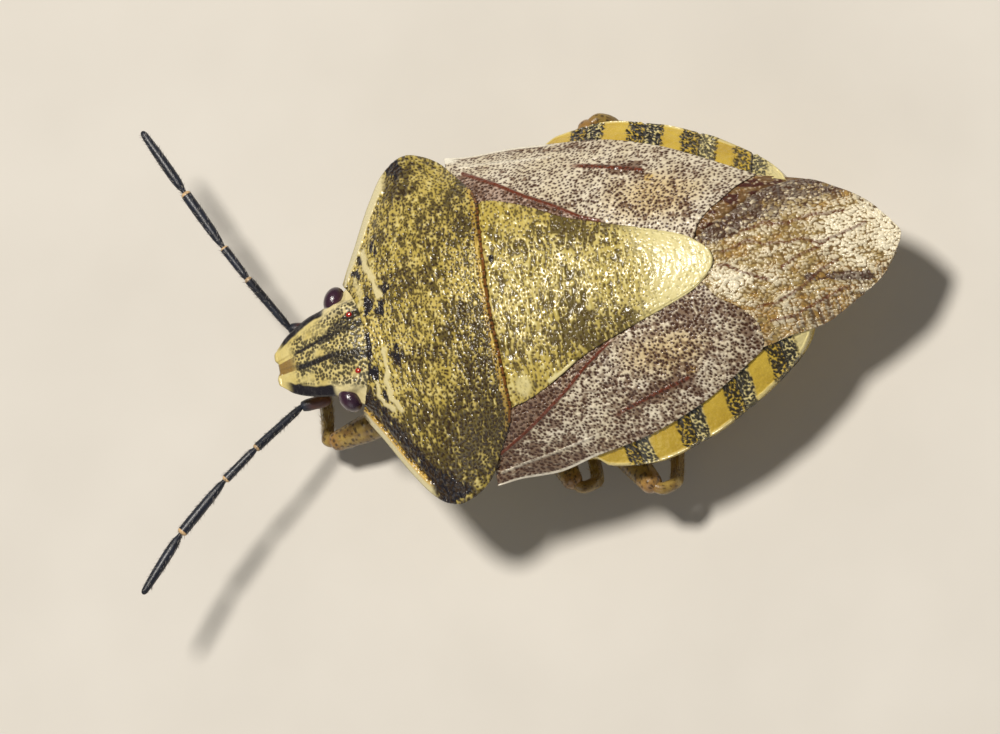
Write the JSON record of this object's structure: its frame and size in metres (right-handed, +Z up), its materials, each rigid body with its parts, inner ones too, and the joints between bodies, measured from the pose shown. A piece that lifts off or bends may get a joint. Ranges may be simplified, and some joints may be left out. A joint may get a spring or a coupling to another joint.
{
  "type": "shield bug",
  "caption": "Life-size still model of a yellow-brown shield bug with pointed shoulders, banded abdomen rim, crinkled wing tips and spread feelers, standing on its feet.",
  "frame": {"origin": "on the floor, under the middle of the whole bug's box with its feelers and legs", "axes": "+Z up, the head towards -Y, the bug's left side towards +X"},
  "size_m": [0.0096, 0.0166, 0.0046],
  "materials": {
    "head": "pale yellow cuticle with black punctures, satin gloss",
    "eye": "dark purple-brown, glossy, finely faceted",
    "feeler": "blue-black, fine pale hairs, pale rings at the joints",
    "shell": "olive yellow cuticle, densely and darkly punctured, glossy",
    "wing": "pinkish cream leathery wing with red-brown punctures and veins",
    "membrane": "brown crinkled membrane with a golden glitter and raised veins",
    "belly": "yellow underside, rim banded yellow and black",
    "leg": "yellow-brown with small dark dots"
  },
  "bodies": {
    "root": {"head": "head", "eye_left": "eye", "eye_right": "eye", "feeler_left": "feeler", "feeler_right": "feeler", "beak": "feeler", "pronotum": "shell", "scutellum": "shell", "forewing_left": "wing", "forewing_right": "wing", "membrane_left": "membrane", "membrane_right": "membrane", "thorax": "belly", "abdomen": "belly", "femur_front_left": "leg", "tibia_front_left": "leg", "tarsus_front_left": "leg", "femur_front_right": "leg", "tibia_front_right": "leg", "tarsus_front_right": "leg", "femur_middle_left": "leg", "tibia_middle_left": "leg", "tarsus_middle_left": "leg", "femur_middle_right": "leg", "tibia_middle_right": "leg", "tarsus_middle_right": "leg", "femur_hind_left": "leg", "tibia_hind_left": "leg", "tarsus_hind_left": "leg", "femur_hind_right": "leg", "tibia_hind_right": "leg", "tarsus_hind_right": "leg"}
  },
  "joints": []
}
